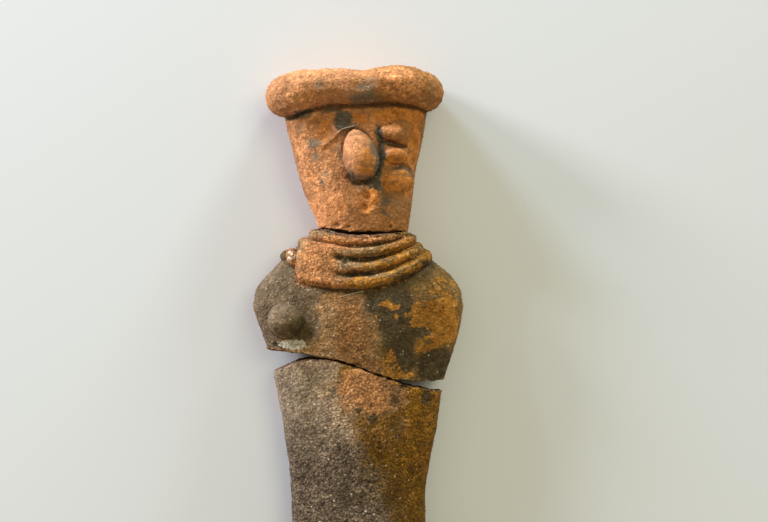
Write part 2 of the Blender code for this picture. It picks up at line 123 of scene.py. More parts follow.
# Lines in the front of the clay: half width, depth (a ridge below zero), then the points (across, along)
LINES = {
    "head_fragment": {
        "eye_slit": (0.75, 0.3, ((3.9, 56.6), (5.6, 55.5), (8.0, 54.9), (11.1, 54.9))),
        "ear_groove": (0.45, 0.25, ((7.4, 51.1), (9.4, 50.8), (11.0, 50.0), (11.8, 49.2), (12.0, 47.7))),
        "nose_lip": (0.2, -0.16, ((-4.2, 56.5), (-3.9, 54.4), (-3.6, 52.4), (-3.1, 50.3))),
        "nose_seam": (0.5, 0.35, (
            (-3.2, 48.7), (-1.8, 47.1), (0.4, 46.5), (2.6, 47.1), (4.1, 48.9), (4.7, 51.5), (4.8, 54.0), (4.2, 56.7))),
        "turban_seam": (0.4, 0.6, (
            (-17.5, 60.7), (-15.4, 61.0), (-13.0, 61.6), (-10.5, 62.3), (-7.8, 62.8), (-2.9, 63.1), (0.3, 63.1),
            (3.8, 63.4), (6.8, 63.5), (10.6, 63.3), (13.3, 63.1), (14.6, 62.2), (17.0, 61.6))),
        "lip_ridge": (0.45, -0.3, ((2.9, 45.1), (3.3, 43.9), (3.3, 42.9), (2.1, 42.2))),
        "lower_lip_ridge": (0.4, -0.2, ((1.6, 40.5), (2.3, 40.6), (3.0, 40.9))),
    },
    "chest_fragment": {
        "upper_groove": (0.45, 0.45, (
            (-10.3, 34.6), (-7.2, 33.6), (-5.1, 33.3), (-2.3, 33.2), (1.4, 33.2), (4.6, 33.4), (7.2, 34.1),
            (9.0, 34.6), (10.0, 35.3))),
        "middle_groove": (0.6, 0.65, (
            (-5.5, 30.7), (-2.3, 30.4), (-0.1, 30.3), (2.9, 30.0), (7.2, 31.5), (10.0, 32.3), (12.8, 34.0))),
        "lower_groove": (0.6, 0.6, (
            (-5.6, 27.3), (-2.3, 27.0), (0.3, 27.2), (3.6, 27.6), (7.2, 28.2), (10.3, 29.6), (12.8, 30.8),
            (15.4, 31.9))),
        "under_collar": (0.6, 0.5, (
            (-12.7, 25.4), (-8.8, 24.3), (-5.1, 23.6), (-1.8, 23.2), (0.7, 23.4), (3.6, 23.9), (7.2, 25.2),
            (10.5, 26.3), (13.3, 28.0), (15.7, 29.5))),
        "pad_edge": (0.5, 0.35, ((-12.9, 34.3), (-13.4, 32.1), (-13.7, 29.5), (-13.5, 27.4), (-12.7, 25.6))),
        "pad_upper_fold": (0.5, 0.16, ((-12.4, 31.7), (-9.6, 31.1), (-5.5, 30.7))),
        "pad_lower_fold": (0.5, 0.14, ((-12.0, 28.1), (-9.0, 27.6), (-5.6, 27.3))),
        "flank_ridge": (0.6, -0.2, ((-20.0, 23.5), (-20.4, 20.2), (-20.0, 17.0), (-19.1, 13.8), (-18.3, 10.9))),
    },
    "lower_body_fragment": {
        "waist_nick": (0.3, 0.22, ((1.0, -18.0), (2.8, -18.1), (4.9, -17.9))),
    },
}
# Towards its ends a line fades out to this share over this length
LINE_END_SHARE = 0.25
LINE_END = 1.5

# Low steps in the front: height and how far it reaches on the left of the line, then the points (across, along)
STEPS = {
    "head_fragment": {
        "brow_crack": (0.34, 2.6, (
            (-8.2, 53.4), (-7.3, 54.5), (-5.9, 55.5), (-4.7, 56.7), (-4.2, 57.6), (-3.0, 58.3), (-1.3, 58.7),
            (0.2, 59.4))),
    },
    "chest_fragment": {
        "slip_edge": (0.16, 2.0, (
            (7.8, 25.1), (6.1, 24.7), (4.2, 24.2), (1.8, 23.2), (-0.5, 22.9), (-2.5, 22.5), (-4.6, 22.2))),
        "pad_corner": (0.22, 1.6, ((-13.6, 28.5), (-13.2, 26.5), (-12.4, 25.2))),
    },
}

# Pale rootlets stuck to the front: radius, then the points (across, along)
ROOTLETS = {
    "head_fragment": (0.085, ((-4.4, 57.4), (-4.0, 58.0), (-3.1, 58.4), (-1.4, 58.8), (-0.6, 59.0), (0.0, 59.4))),
    "chest_fragment": (0.07, ((-4.1, 22.0), (-2.5, 22.5), (-0.5, 23.0), (1.2, 23.3))),
}
# Their sides, the shares of the radius at their tips and above this many near points, and their streaks
ROOTLET_SIDES = 6
ROOTLET_TIP = 0.25
ROOTLET_RISE = 0.3
ROOTLET_NEAR = 8
ROOTLET_STREAK = 0.6
ROOTLET_SHADE = (0.40, 0.60)
ROOTLET_BUMP = 0.05

# Dents in the front, by depth (a bump below zero)
DENTS = {
    "head_fragment": {
        "lost_eye": (-8.1, 58.6, 3.4, 3.9, 0.25),
        "under_nose": (0.5, 46.1, 3.2, 1.7, 0.3),
        "mouth_hollow": (1.7, 42.9, 2.7, 2.9, 0.25),
        "upper_mouth_pit": (1.8, 44.0, 1.4, 1.1, 0.1),
        "lower_mouth_pit": (1.0, 41.7, 1.2, 1.2, 0.1),
        "ear": (11.9, 47.7, 1.3, 1.9, -0.35),
        "turban_dip": (0.6, 67.5, 3.0, 2.0, 0.3),
        "upper_lid": (7.4, 57.8, 3.8, 2.7, 0.6),
        "nose_foot": (0.5, 46.7, 3.2, 1.4, 0.2),
        "lower_lid": (8.0, 53.0, 2.8, 1.6, -0.3),
        "turban_swell": (6.5, 69.1, 5.5, 2.4, -0.4),
        "chin_chip": (-4.8, 37.7, 1.6, 0.9, 0.45),
        "left_chin_dent": (-2.3, 37.4, 0.8, 0.6, 0.35),
        "right_chin_dent": (6.8, 37.3, 0.7, 0.6, 0.35),
    },
    "chest_fragment": {
        "lost_breast": (15.9, 17.4, 4.2, 4.6, 0.2),
        "pad_hollow": (-4.4, 31.1, 1.6, 2.2, 0.3, 20),
        "chest_swell": (3.5, 13.5, 6.0, 6.0, -0.25),
        "break_chip": (-17.4, 11.7, 1.8, 0.8, 0.3),
    },
    "lower_body_fragment": {
        "left_hollow": (-9.5, -9.5, 4.0, 16.0, 0.35),
        "middle_swell": (0.5, -6.5, 4.5, 18.0, -0.35),
    },
}
# A dent is full depth out to this share of its oval
DENT_FULL = 0.2

# Swells that push the surface straight out, by height
SWELLS = {"chest_fragment": {"left_shoulder": (-21.5, 21.5, 6.5, 9.5, 0.65)}}
# How squarely the clay has to face up for the lines, steps and dents of the front
FRONT = (0.05, 0.55)

# Noises, each a height, a width and a seed: of the skin, of the broken faces, and of the chips at the breaks
SKIN_NOISE = ((0.30, 8.0, 1), (0.12, 2.6, 2))
CRUMB_NOISE = ((0.25, 1.6, 4), (0.15, 0.8, 5))
CHIP_NOISE = ((1.0, 2.0, 6),)
CHIP_LEAST = 0.15
CHIP_REACH = (0.9, 0.1)
# Above the table, where the unevenness starts and is full
SKIN_LEVELS = (0.3, 1.5)
# How far drawn lines and stains wander, over a wide and a narrow noise, and the seeds for across and along
LINE_WANDER = (0.22, 0.16)
STAIN_WANDER = (0.8, 0.4)
WANDER_WIDTHS = (3.0, 0.9)
WANDER_SEEDS = ((21, 26), (22, 27))
# How far one seed's noise lies from the next one's
SEED_STEPS = (7.3, 3.1, 5.7)

# Stains on the front, by strength (below zero it is rubbed off); some dark ones are painted shade
STAINS = {
    "head_fragment": {
        "orange": (
            (-11.4, 51.6, 1.9, 6.5, 0.6, 17), (-7.7, 59.4, 3.2, 2.4, 0.38), (-7.2, 41.0, 4.6, 3.9, 1),
            (-6.2, 46.0, 3.5, 3.0, 0.45), (-0.5, 53.6, 2.6, 4.6, 0.4, 6), (1.8, 42.9, 2.3, 2.4, 0.8),
            (-14.2, 65.6, 5.2, 2.8, 0.25), (7.9, 69.9, 5.6, 1.3, 0.4), (9.0, 67.3, 5.6, 2.4, 0.45),
            (6.8, 58.3, 2.0, 1.1, 0.95), (7.4, 53.3, 2.1, 1.0, 0.75)),
        "red": (
            (-5.1, 65.2, 4.3, 1.7, 0.4), (8.0, 53.2, 2.4, 1.3, 0.35), (-2.9, 51.6, 1.3, 4.3, 0.35),
            (11.7, 65.6, 4.0, 2.4, 0.2), (-1.4, 40.3, 2.6, 2.2, 0.3)),
        "ochre": (
            (-7.7, 60.4, 2.9, 1.7, 0.38), (-7.2, 57.1, 1.7, 1.8, 0.65), (1.1, 60.4, 2.4, 1.4, 0.95),
            (5.9, 60.9, 1.9, 1.5, 0.7), (9.4, 61.3, 4.8, 1.5, 1), (12.4, 56.1, 1.3, 4.1, 0.95),
            (8.3, 52.2, 2.6, 1.7, 0.8), (8.5, 47.0, 3.7, 2.8, 0.6), (11.6, 51.6, 1.1, 1.9, 0.7),
            (1.9, 50.6, 1.7, 3.2, 0.66, 10), (2.3, 60.9, 0.8, 0.9, -0.7)),
        # Dark ovals beside and under the nose, in the eye slit and under the turban's edge are painted shade; the
        # others are stains
        "dark": (
            (-12.2, 61.8, 3.0, 0.6, 0.8, 14), (-11.5, 61.2, 2.0, 0.8, 0.6, 14), (-3.6, 60.2, 2.1, 2.1, 1),
            (-5.7, 62.4, 2.6, 0.5, 0.7, 8), (-1.4, 58.7, 1.3, 0.6, 0.6), (0.4, 65.9, 3.4, 2.2, 0.42),
            (15.6, 66.0, 1.2, 3.0, 0.35), (1.4, 64.4, 4.2, 1.0, 0.45), (12.4, 53.5, 0.9, 3.6, 0.45, 4),
            (4.4, 57.0, 0.9, 1.9, 0.95), (8.0, 55.2, 3.0, 0.75, 0.32, -6), (9.2, 50.0, 3.0, 3.6, 0.25),
            (3.7, 52.0, 1.2, 3.6, 0.62, 12), (4.8, 52.2, 0.9, 4.3, 0.85), (9.0, 50.1, 1.5, 0.5, 0.85, -8),
            (11.4, 49.0, 0.5, 1.7, 0.6, 12), (0.7, 47.7, 2.9, 0.8, 0.6, -12), (3.9, 48.2, 1.2, 2.4, 0.7),
            (6.0, 40.0, 1.2, 0.35, 0.7, -48), (3.3, 46.4, 1.9, 1.2, 0.85, -25), (7.9, 41.4, 3.2, 3.0, 0.33),
            (5.5, 43.6, 1.1, 2.2, 0.5), (15.7, 61.9, 1.7, 0.6, 0.7), (-1.8, 48.5, 0.8, 0.8, 0.7)),
        "grey": (
            (-9.8, 55.4, 1.8, 1.0, 0.75), (-9.6, 52.0, 1.0, 1.3, 0.75), (-7.5, 47.5, 0.9, 1.7, 0.9, -25),
            (-5.7, 45.1, 0.6, 1.1, 0.75), (-0.1, 46.4, 2.3, 0.9, 0.55, -36), (-8.1, 67.8, 1.1, 1.3, 0.55),
            (-12.7, 58.5, 0.9, 1.3, 0.4), (1.2, 66.7, 3.0, 2.2, 0.5, 30), (-3.4, 57.4, 1.1, 0.9, 0.5),
            (-4.4, 53.3, 0.6, 1.7, 0.55)),
        "fresh": (
            (1.8, 44.0, 1.5, 1.3, 0.75), (1.0, 41.7, 1.4, 1.2, 0.75), (3.1, 43.7, 1.0, 2.0, 1),
            (2.6, 42.5, 0.9, 0.6, 0.9, 30), (2.3, 40.6, 0.8, 0.4, 0.7)),
        "pale": ((6.4, 55.3, 0.5, 0.35, 0.7),),
        "smooth": ((9.4, 53.7, 4.8, 8.6, 0.7), (-0.1, 53.3, 3.2, 5.2, 0.85)),
    },
    "chest_fragment": {
        "grey": (
            (-18.1, 23.5, 5.8, 6.7, 1), (-12.7, 15.9, 4.8, 4.3, 0.95), (-19.6, 15.9, 3.2, 5.6, 1),
            (-12.0, 22.2, 4.3, 2.6, 0.8), (-7.9, 23.3, 2.8, 0.9, 0.7)),
        "orange": (
            (-14.4, 30.6, 1.1, 2.0, 0.7), (-8.8, 29.5, 4.8, 5.2, 0.85), (-2.9, 34.3, 7.3, 1.9, 0.75),
            (-5.6, 25.0, 6.8, 1.3, 0.7), (-1.8, 27.6, 5.4, 0.9, 0.5), (7.9, 34.3, 3.9, 1.7, 0.45),
            (8.5, 31.6, 5.4, 3.0, 0.3, 18), (-13.3, 28.2, 1.3, 3.0, 0.5)),
        "red": (
            (-1.4, 14.6, 4.1, 6.7, 0.9), (1.6, 7.1, 3.9, 2.2, 0.65), (4.0, 21.3, 1.9, 3.0, 0.4),
            (-5.1, 21.3, 2.6, 1.3, 0.4)),
        "ochre": (
            (2.0, 25.3, 6.0, 1.1, 0.75, 6), (3.6, 29.0, 3.0, 1.0, 0.5, 4), (9.0, 31.6, 5.4, 2.6, 0.45, 20),
            (10.0, 29.5, 4.8, 1.1, 0.75, 20), (9.5, 32.6, 4.6, 0.9, 0.6, 20), (14.4, 30.8, 1.7, 1.5, 0.6),
            (5.1, 24.6, 5.4, 0.8, 0.5, 12), (11.1, 27.8, 3.9, 0.6, 0.5, 20), (7.0, 20.2, 2.3, 0.8, 0.85),
            (8.4, 17.8, 0.4, 0.6, 0.8), (3.8, 17.0, 0.8, 1.8, 0.4), (15.8, 17.6, 4.9, 3.7, 1),
            (15.8, 12.4, 3.4, 1.9, 0.9, 26), (19.8, 16.8, 1.9, 5.6, 0.9), (18.2, 24.2, 3.0, 2.2, 0.5),
            (6.8, 7.4, 1.8, 3.1, 0.6), (9.0, 5.2, 3.0, 0.9, 0.65), (2.5, 4.5, 1.7, 0.9, 0.4),
            (13.5, 14.6, 1.9, 1.0, -0.9, -8), (14.8, 12.5, 0.9, 0.8, -0.8)),
        # Dark ovals in the collar's grooves, under the collar and beside the breast are painted shade; the others are
        # dark slip
        "dark": (
            (8.6, 15.5, 3.8, 9.8, 0.85), (6.4, 20.4, 5.2, 3.4, 1), (12.6, 27.0, 5.2, 2.4, 0.6, 22),
            (7.4, 16.6, 3.2, 2.6, 1), (9.6, 10.5, 2.4, 5.0, 1), (16.4, 7.4, 4.4, 3.8, 1, 10),
            (13.5, 14.4, 2.2, 1.3, 0.9), (-2.9, 23.3, 8.6, 0.6, 0.38, -5), (-0.8, 26.3, 5.0, 1.2, 0.32, 4),
            (5.9, 23.9, 4.3, 0.5, 0.6, 15), (-2.8, 30.1, 2.4, 0.5, 0.9), (-0.1, 27.2, 4.3, 0.6, 0.8),
            (7.2, 30.4, 4.8, 0.6, 0.55, 20), (14.8, 32.8, 1.9, 1.9, 0.5), (16.1, 29.1, 1.1, 1.3, 0.6),
            (-16.5, 30.8, 1.1, 1.1, 0.8), (-12.4, 15.0, 2.9, 2.2, 0.95, -35), (-14.2, 15.5, 2.2, 1.3, 0.4, -20),
            (-17.0, 11.4, 1.9, 0.8, 0.85, -5), (3.6, 22.8, 3.0, 1.9, 0.5)),
        "pale": (
            (-14.4, 30.6, 1.0, 1.9, 0.45), (-14.2, 11.7, 3.6, 1.1, 1, -4), (-6.0, 36.7, 1.9, 0.8, 0.5, -12),
            (-2.9, 29.1, 1.7, 0.4, 0.4)),
        "smooth": ((14.4, 17.0, 10.8, 11.9, 0.65),),
    },
    "lower_body_fragment": {
        "grey": (
            (-14.8, 2.9, 6.1, 6.1, 0.7), (-12.7, -6.8, 6.5, 7.6, 0.6), (-7.9, 5.8, 3.5, 2.6, 0.5),
            (-11.5, -48.5, 8.0, 18.0, 0.6), (-9.0, -66.5, 9.0, 8.0, 0.5)),
        "orange": (
            (0.7, 3.6, 4.8, 3.2, 0.9), (2.9, 0.1, 4.8, 2.6, 0.6), (-2.9, 0.8, 2.2, 4.8, 0.35),
            (4.2, -2.0, 2.6, 1.7, 0.6), (3.0, -46.5, 5.0, 7.0, 0.35)),
        "red": (
            (1.6, 1.4, 6.9, 5.6, 0.6), (6.8, 0.1, 4.8, 3.0, 0.6), (5.7, -6.8, 5.4, 5.4, 0.3),
            (4.0, -60.5, 6.0, 7.0, 0.4)),
        "ochre": (
            (14.4, 1.0, 3.7, 1.9, 0.7), (15.4, -6.1, 1.7, 3.0, 0.7), (14.1, -12.2, 1.7, 4.8, 0.6),
            (9.4, 4.2, 3.0, 0.9, 0.5), (11.6, -15.4, 3.5, 8.6, 0.35), (17.6, 2.9, 1.3, 1.1, 0.6),
            (14.0, -40.5, 3.5, 10.0, 0.5), (13.0, -57.5, 4.0, 7.0, 0.5), (9.9, 2.6, 1.6, 1.0, -0.9),
            (14.6, 0.4, 1.6, 2.1, -0.95, 15)),
        "dark": (
            (0.1, -2.0, 0.9, 0.6, 0.9), (3.2, -4.3, 1.3, 1.0, 0.8), (9.9, 2.6, 1.3, 0.7, 0.95),
            (14.6, 0.2, 1.4, 1.7, 1, 15), (7.9, -0.4, 0.9, 0.8, 0.7), (-2.5, -21.7, 1.9, 3.0, 0.45),
            (7.7, -5.7, 2.2, 1.9, 0.4), (9.0, -21.9, 3.5, 4.8, 0.35), (5.9, -2.9, 1.3, 0.9, 0.5),
            (9.0, -46.5, 5.0, 9.0, 0.4, 10), (-2.0, -58.5, 6.0, 5.0, 0.4)),
        "smooth": ((11.1, -17.6, 5.4, 13.0, 0.5),),
    },
}
# A stain ends and is full at these shares of its oval, on clay that faces up this squarely
STAIN_EDGE = 1.35
STAIN_FULL = 0.65
STAIN_FRONT = (-0.35, 0.15)
# How much of each stain the sides and the back have, in clouds of noise this wide
STAIN_BEHIND = {"orange": 0.45, "red": 0.5, "ochre": 0.3, "grey": 0.4, "dark": 0.3, "pale": 0.0, "fresh": 0.0,
                "smooth": 0.3}
BEHIND_WIDTH = 9.0
BEHIND_CLOUDS = (-0.1, 0.35)
BEHIND_SEED = 31
# Where the clay turns from its left tone to its right one, darker partly as painted shade: across, half width, and how
# far across moves along Y
WARM_SIDE = {"head_fragment": (2.9, 8.0, 0.0), "chest_fragment": (2.5, 7.0, 0.0),
             "lower_body_fragment": (-3.0, 4.5, -0.37)}
WARM_LOWEST = -30.0
WARM_NOISE = ((2.0, 7.0, 41),)
# The smoky tone of the skirt, along, and how much less of it the right side has
SMOKE = (1.0, -15.0)
SMOKE_NOISE = ((3.0, 6.0, 42),)
SMOKE_SPARED = 0.5
# Bends, over so many steps: hollows darkened with dirt and painted shade, ridges made lighter, and how much of the
# hollows' darkening fresh clay is spared
HOLLOW_BEND = (0.02, 0.20)
HOLLOW_STEPS = 30
CREST_BEND = (0.02, 0.16)
CREST_STEPS = 8
FRESH_SPARED = 0.8

# Grit and lumps that stand out of the clay. Grit: its rise from edge to middle, its clouds and its width over
# theirs. Then where above the table both start and are full.
RELIEF = {"Grit width": 0.80, "Grit height": 0.10, "Lump width": 3.2, "Lump height": 0.20, "Seed": 3}
GRIT_EDGE = (0.70, 0.05)
GRIT_CLOUDS = (0.35, 0.65)
GRIT_PER_CLOUD = 0.45
GRIT_LEVELS = (0.1, 0.8)
# Temper grains in the clay: their least and most stretch, and where above the table they start and are all there
GRAINS = {"Grains per square mm": 0.40, "Grain radius": 0.15, "Seed": 11}
GRAIN_STRETCH = (0.45, 1.35)
GRAIN_LEVELS = (0.8, 1.6)
FULL_TURN = 6.28

# Clay colours of each fragment: its left and right tone (the right one darker partly as painted shade), then its
# stains, and how grainy it looks
CLAY = {
    "head_fragment": {
        "left": (0.485, 0.210, 0.084), "right": (0.355, 0.150, 0.046), "grey": (0.25, 0.175, 0.112),
        "red": (0.36, 0.150, 0.065), "orange": (0.74, 0.305, 0.118), "dark": (0.120, 0.095, 0.066),
        "ochre": (0.52, 0.185, 0.036), "grain": 0.72},
    "chest_fragment": {
        "left": (0.325, 0.180, 0.078), "right": (0.19, 0.104, 0.032), "grey": (0.158, 0.104, 0.057),
        "red": (0.260, 0.118, 0.039), "orange": (0.445, 0.185, 0.064), "dark": (0.075, 0.050, 0.022),
        "ochre": (0.34, 0.140, 0.019), "grain": 1.35},
    "lower_body_fragment": {
        "left": (0.39, 0.264, 0.160), "right": (0.20, 0.092, 0.009), "grey": (0.270, 0.190, 0.120),
        "red": (0.28, 0.138, 0.058), "orange": (0.40, 0.177, 0.063), "dark": (0.085, 0.056, 0.026),
        "ochre": (0.28, 0.120, 0.015), "grain": 1.55},
}
# Colours that all three share
PALE_CRUST = (0.58, 0.51, 0.39)
FRESH_CLAY = (0.82, 0.315, 0.085)
ROOTLET = (0.62, 0.52, 0.36)
# The broken faces' dark core, made darker still as painted shade in the gaps between fragments
CORE_CLAY_AND_SHADE = (0.11, 0.056, 0.028)
# Dirt and painted shade in the hollows
DIRT_AND_SHADE = (0.030, 0.020, 0.012)
# Pale quartz, painted bright as glints
QUARTZ_AND_GLINT = (0.64, 0.53, 0.37)

# Patterns in the clay's colour: width, detail, roughness, distortion
PATTERNS = {
    "cloud": (6.0, 4.0, 0.6, 0.0),
    "mottle": (1.6, 5.0, 0.68, 0.0),
    "fleck": (0.85, 3.0, 0.7, 1.3),
    "fine": (0.34, 2.0, 0.6, 1.0),
    "crumb_bend": (0.9, 2.0, 0.6, 0.0),
}
# The crumbs' own pattern: width, how far it is bent, and how near a crumb's middle it is full
CRUMB_WIDTH = 0.62
CRUMB_SHIFT = 0.6
CRUMB_MIDDLE = (0.72, 0.15)
# How much the patterns break up the edges of the stains, and how fast that sets in with a stain
MOTTLE_BREAKUP = 1.5
FLECK_BREAKUP = 0.9
CHANCE_BREAKUP = 0.2
BREAKUP_RISE = 4.0
# Each stain's share of that, and where it starts and is full
PATCHES = {
    "warm": (0.8, 0.0, 1.0), "grey": (0.5, 0.12, 0.88), "red": (0.9, 0.12, 0.88), "orange": (0.7, 0.12, 0.88),
    "dark": (0.9, 0.12, 0.88), "ochre": (1.5, 0.36, 0.62), "pale": (1.0, 0.3, 0.7), "fresh": (1.4, 0.3, 0.7),
}
# Inside an ochre patch, pits of the fleck pattern let the clay show: where, and the ochre left there
OCHRE_PITS = (0.54, 0.64, 1.0, 0.15)
# How thickly the broken faces' dark tone, partly painted shade, and the dirt and painted shade of the hollows lie
CORE_AND_SHADE_SHARE = 0.8
DIRT_AND_SHADE_SHARE = 0.7
# Lighter and darker clay, finely grained and then in larger areas: a pattern's range, and its darkest and lightest
FINE_SHADE = (0.25, 0.75, 0.74, 1.34)
FLECK_SHADE = (0.30, 0.70, 0.74, 1.34)
CHANCE_SHADE = (0.84, 1.18)
MIDDLE_SHADE = (0.84, 1.08)
CLOUD_SHADE = (0.35, 0.65, 0.84, 1.16)
MOTTLE_SHADE = (0.30, 0.70, 0.76, 1.28)
CREST_SHADE = (1.0, 1.3)
SMOKE_SHADE = (1.0, 0.355)
# How much of the fine graininess is left on smoothed, grey and smoky clay
SMOOTH_GRAIN = 0.55
GREY_GRAIN = 0.72
SMOKE_GRAIN = 1.35
# Light grains, pale quartz painted bright as glints: a few chance crumbs near their middles, and the palest temper
# grains
GLINT_CHANCE = (0.96, 0.98)
GLINT_MIDDLE = (0.40, 0.20)
GLINT_SHARE = 0.5
PALE_GRAIN = (0.80, 1.0, 0.0, 0.45)
# Bump of the crumbs, flecks and fine grain
MIDDLE_BUMP = 0.45
FLECK_BUMP = 0.6
FINE_BUMP = 0.2
BUMP_HEIGHT = 0.32
BUMP_STRENGTH = 0.75
# Roughness where the mottle is dark and light, and how much less smoothed slip has
CLAY_ROUGHNESS = (0.35, 0.65, 0.95, 0.78)
SLIP_GLOSS = 0.18
CLAY_SPECULAR = 0.12


def smooth_step(low, high, values):
    """0 below low, 1 above high, smooth between them."""
    share = np.clip((values - low) / (high - low), 0.0, 1.0)
    return share * share * (3.0 - 2.0 * share)


def noise_at(points, width, seed):
    """Smooth noise from -1 to 1 with features this wide, at each point."""
    offset = Vector([seed * step for step in SEED_STEPS])
    return np.array([noise.noise(Vector(point) / width + offset) for point in points])


def layered_noise(points, layers):
    """Several noises together, each with its height, width and seed."""
    return sum(height * noise_at(points, width, seed) for height, width, seed in layers)


def placed(name, data):
    """A new object in the scene with this mesh, curve, light or camera."""
    thing = bpy.data.objects.new(name, data)
    bpy.context.scene.collection.objects.link(thing)
    return thing


def merged_copy(node):
    """A copy of a solid's mesh with its loose triangles joined."""
    mesh = node.data.copy()
    shape = bmesh.new()
    shape.from_mesh(mesh)
    bmesh.ops.remove_doubles(shape, verts=shape.verts, dist=SAME_POINT * MM)
    shape.to_mesh(mesh)
    shape.free()
    mesh.materials.clear()
    return mesh


def applied(thing):
    """The mesh that the modifiers of a thing make."""
    bpy.context.view_layer.update()
    graph = bpy.context.evaluated_depsgraph_get()
    return bpy.data.meshes.new_from_object(thing.evaluated_get(graph))


class Clay:
    """A fragment's fine mesh, as arrays that can be shaped."""

    def __init__(self, node):
        self.name = node
        self.thing = placed(node.replace("fragment", "clay"), merged_copy(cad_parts[node]))
        remesh = self.thing.modifiers.new("even_faces", "REMESH")
        remesh.mode = "VOXEL"
        remesh.voxel_size = FACE_SIZE[node] * MM
        self.keep(applied(self.thing))
        self.edges = self.read("edges", "vertices", 2, np.int32)
        self.load()
        self.counts = np.bincount(self.edges.ravel(), minlength=len(self.points))[:, None]

    def keep(self, mesh):
        """Takes this mesh in place of the one with modifiers."""
        self.thing.modifiers.clear()
        self.thing.data = mesh

    def read(self, items, field, width, kind=np.float32):
        """One field of the mesh's points or edges, as rows."""
        found = getattr(self.thing.data, items)
        values = np.empty(len(found) * width, dtype=kind)
        found.foreach_get(field, values)
        return values.reshape(-1, width)

    def load(self):
        """Takes the points from the mesh, in mm."""
        self.points = self.read("vertices", "co", 3).astype(float) / MM

    def store(self):
        """Puts the shaped points back into the mesh, none below the floor."""
        self.points[:, 2] = np.maximum(self.points[:, 2], 0.0)
        self.thing.data.vertices.foreach_set("co", (self.points * MM).ravel())
        self.thing.data.update()

    def normals(self):
        """The outward directions of the points as they are now."""
        self.store()
        return self.read("vertices", "normal", 3).astype(float)

    def around(self, values):
        """The mean of each point's neighbours."""
        first, second = self.edges.T
        total = np.empty_like(values)
        for column in range(values.shape[1]):
            total[:, column] = np.bincount(first, values[second, column], len(values))
            total[:, column] += np.bincount(second, values[first, column], len(values))
        return total / self.counts

    def spread(self, values, steps):
        """Values averaged with their neighbours' this many times."""
        values = values.reshape(len(self.points), -1)
        for _ in range(steps):
            values = (values + self.around(values)) / 2
        return values

    def relax(self, steps, share):
        """Evens the surface out without shrinking it, most where share is 1."""
        for _ in range(steps):
            self.points += RELAX_IN * share * (self.around(self.points) - self.points)
            self.points -= RELAX_OUT * share * (self.around(self.points) - self.points)

    def bend(self, steps):
        """How far the surface lies below its surroundings, in mm: above zero in a hollow."""
        gap = self.spread(self.points, steps) - self.points
        return np.sum(gap * self.normals(), axis=1)

    def add(self, name, values):
        """Stores a value at each point, for the material."""
        layer = self.thing.data.attributes.new(name, "FLOAT", "POINT")
        layer.data.foreach_set("value", np.clip(values, 0.0, 1.0).ravel().astype(np.float32))


def rounded(line):
    """The line with its corners cut twice, so that it runs in smooth curves."""
    line = np.array(line)
    for _ in range(2):
        corners = [(0.75 * a + 0.25 * b, 0.25 * a + 0.75 * b) for a, b in zip(line[:-1], line[1:])]
        line = np.concatenate([line[:1], *corners, line[-1:]])
    return line


def measure_line(spots, line):
    """For each spot: its distance from a drawn line, its side (1 is the line's left), and how far from an end."""
    line = rounded(line)
    lengths = np.linalg.norm(np.diff(line, axis=0), axis=1)
    nearest, side, place = np.full(len(spots), np.inf), np.zeros(len(spots)), np.zeros(len(spots))
    for start, end, length, before in zip(line[:-1], line[1:], lengths, np.cumsum(lengths) - lengths):
        step = (end - start) / length
        run = np.clip((spots - start) @ step, 0.0, length)
        away = spots - start - run[:, None] * step
        distance = np.linalg.norm(away, axis=1)
        closer = distance < nearest
        nearest[closer] = distance[closer]
        side[closer] = np.sign(step[0] * away[closer, 1] - step[1] * away[closer, 0])
        place[closer] = before + run[closer]
    return nearest, side, np.minimum(place, lengths.sum() - place)


def in_oval(spots, oval, full, edge=1.0):
    """An oval's strength at each spot: full and edge are the shares of the oval where it is full and ends."""
    across, along, half_width, half_length, strength, turn = (*oval, 0)[:6]
    away = spots - (across, along)
    cos, sin = math.cos(math.radians(turn)), math.sin(math.radians(turn))
    reach = np.hypot((away @ (cos, sin)) / half_width, (away @ (-sin, cos)) / half_length)
    return strength * smooth_step(edge, full, reach)


def stain(spots, ovals):
    """How strongly a stain of several ovals covers each spot."""
    cover = np.zeros(len(spots))
    for oval in ovals:
        share = in_oval(spots, oval, STAIN_FULL, STAIN_EDGE)
        cover = np.where(share > 0, 1.0 - (1.0 - cover) * (1.0 - share), cover * (1.0 + share))
    return cover


def broken_faces(clay, normals):
    """1 on a fragment's broken faces, 0 on its skin, and the distance along from each point to the break."""
    points = clay.points
    on_break = np.zeros(len(points))
    from_break = np.full(len(points), np.inf)
    for (line, slant, front), is_below in ENDS[clay.name]:
        across, along, gap = np.array(line).T
        edge = np.interp(points[:, 0], across, along - gap * is_below) - slant * (front - points[:, 2])
        distance = np.abs(points[:, 1] - edge)
        facing = smooth_step(*BREAK_FACING, normals[:, 1] * (1 if is_below else -1))
        on_break = np.maximum(on_break, facing * smooth_step(*BREAK_REACH, distance))
        from_break = np.minimum(from_break, distance)
    return on_break, from_break


def wandering(points, heights):
    """The points seen from the front, shifted a little so that what is drawn on them gets a natural outline."""
    shift = [layered_noise(points, zip(heights, WANDER_WIDTHS, seeds)) for seeds in WANDER_SEEDS]
    return points[:, :2] + np.array(shift).T


